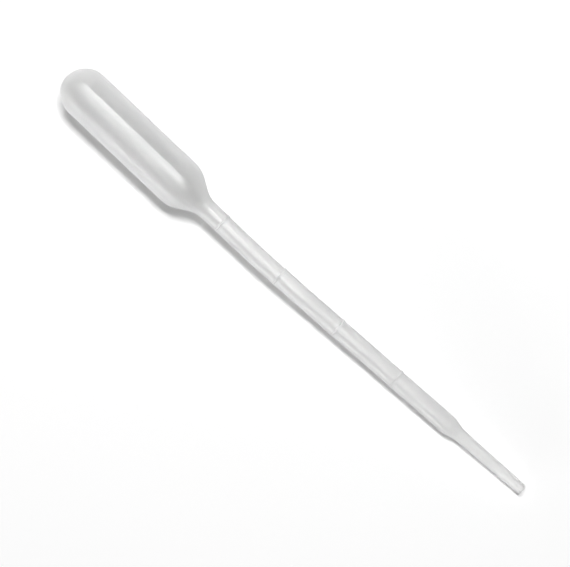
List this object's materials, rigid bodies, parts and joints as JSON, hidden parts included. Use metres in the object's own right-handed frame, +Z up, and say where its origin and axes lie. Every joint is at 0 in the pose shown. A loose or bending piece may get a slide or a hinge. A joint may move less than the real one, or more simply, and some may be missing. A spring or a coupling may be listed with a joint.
{
  "type": "dropper pipette",
  "caption": "Disposable plastic dropper pipette moulded in one: squeeze bulb, graduated stem and narrow drawn tip, hollow and open only at the tip.",
  "frame": {"origin": "on the table, at the centre of the box round the lying pipette", "axes": "+Z up from the table, +X from the squeeze bulb towards the tip, +Y towards the side to which the lower half of the bowed stem bends"},
  "size_m": [0.155, 0.0128, 0.0139],
  "materials": {
    "polyethylene": "satin, translucent natural low-density polyethylene"
  },
  "bodies": {
    "root": {"pipette": "polyethylene"}
  },
  "joints": []
}
